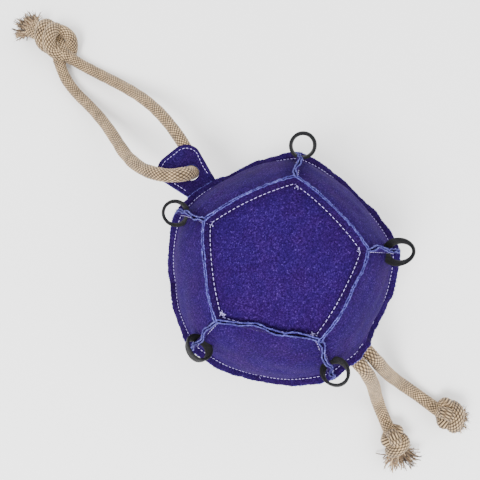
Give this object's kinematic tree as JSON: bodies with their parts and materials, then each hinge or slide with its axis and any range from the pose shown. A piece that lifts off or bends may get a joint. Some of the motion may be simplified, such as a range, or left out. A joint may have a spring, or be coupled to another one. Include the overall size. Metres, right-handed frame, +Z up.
{
  "type": "stuffed pull ball",
  "caption": "Stuffed suede ball of pentagon panels with raised seams, small tape loops, a sewn tab carrying a knotted rope handle, and knotted rope tails.",
  "frame": {"origin": "middle of the outer face of the base panel that the ball rests on", "axes": "+Z up, +Y from the ball to the pull tab and its rope, -Y to the rope tails, +X to the right when seen from the tails"},
  "size_m": [0.169, 0.5262, 0.1347],
  "materials": {
    "suede": "napped purple-blue suede, matte",
    "thread": "pale lavender lockstitch thread",
    "rope": "beige braided cord, matte",
    "tape": "black woven tape",
    "filling": "white fibre filling"
  },
  "bodies": {
    "ball": {"filling": "filling", "top_panel": "suede", "upper_panel_1": "suede", "upper_panel_2": "suede", "upper_panel_3": "suede", "upper_panel_4": "suede", "upper_panel_5": "suede", "lower_panel_1": "suede", "lower_panel_2": "suede", "lower_panel_3": "suede", "lower_panel_4": "suede", "lower_panel_5": "suede", "base_panel": "suede", "top_seam_thread": "thread", "upper_seam_thread": "thread", "middle_seam_thread": "thread", "lower_seam_thread": "thread", "base_seam_thread": "thread", "tab_root": "suede", "tail_roots": "rope"},
    "tape_loop_1": {"tape_loop_1": "tape"},
    "tape_loop_2": {"tape_loop_2": "tape"},
    "tape_loop_3": {"tape_loop_3": "tape"},
    "tape_loop_4": {"tape_loop_4": "tape"},
    "tape_loop_5": {"tape_loop_5": "tape"},
    "pull_tab": {"tab_front": "suede", "tab_back": "suede", "tab_thread": "thread"},
    "pull_rope": {"pull_rope": "rope", "pull_knot": "rope"},
    "left_tail": {"left_tail_rope": "rope", "left_tail_knot": "rope"},
    "right_tail": {"right_tail_rope": "rope", "right_tail_knot": "rope"}
  },
  "joints": [
    {"name": "loop_1_flap", "type": "hinge", "parent": "ball", "child": "tape_loop_1", "pos_m": [0.05997, 0.04357, 0.09171], "axis": [0.5878, -0.809, 0], "range_deg": [-13, 52], "stiffness_Nm_per_rad": 0.0004},
    {"name": "loop_2_flap", "type": "hinge", "parent": "ball", "child": "tape_loop_2", "pos_m": [-0.02291, 0.0705, 0.09171], "axis": [0.9511, 0.309, 0], "range_deg": [-19, 46], "stiffness_Nm_per_rad": 0.0004},
    {"name": "loop_3_flap", "type": "hinge", "parent": "ball", "child": "tape_loop_3", "pos_m": [-0.07413, 0, 0.09171], "axis": [0, 1, 0], "range_deg": [-50, 15], "stiffness_Nm_per_rad": 0.0004},
    {"name": "loop_4_flap", "type": "hinge", "parent": "ball", "child": "tape_loop_4", "pos_m": [-0.02291, -0.0705, 0.09171], "axis": [-0.9511, 0.309, 0], "range_deg": [-29, 36], "stiffness_Nm_per_rad": 0.0004},
    {"name": "loop_5_flap", "type": "hinge", "parent": "ball", "child": "tape_loop_5", "pos_m": [0.05997, -0.04357, 0.09171], "axis": [-0.5878, -0.809, 0], "range_deg": [-31, 34], "stiffness_Nm_per_rad": 0.0004},
    {"name": "tab_fold", "type": "hinge", "parent": "ball", "child": "pull_tab", "pos_m": [0, 0.0855, 0.06236], "axis": [0.9903, 0, -0.1392], "range_deg": [0, 45]},
    {"name": "pull_rope_swing", "type": "hinge", "parent": "pull_tab", "child": "pull_rope", "pos_m": [0.002, 0.097, 0.06236], "axis": [0, 0, 1], "range_deg": [-18, 18]},
    {"name": "left_tail_lift", "type": "hinge", "parent": "ball", "child": "left_tail", "pos_m": [-0.00519, -0.0885, 0.06556], "axis": [-1, 0, 0], "range_deg": [0, 80]},
    {"name": "right_tail_lift", "type": "hinge", "parent": "ball", "child": "right_tail", "pos_m": [0.00519, -0.0885, 0.05915], "axis": [-1, 0, 0], "range_deg": [0, 80]}
  ]
}
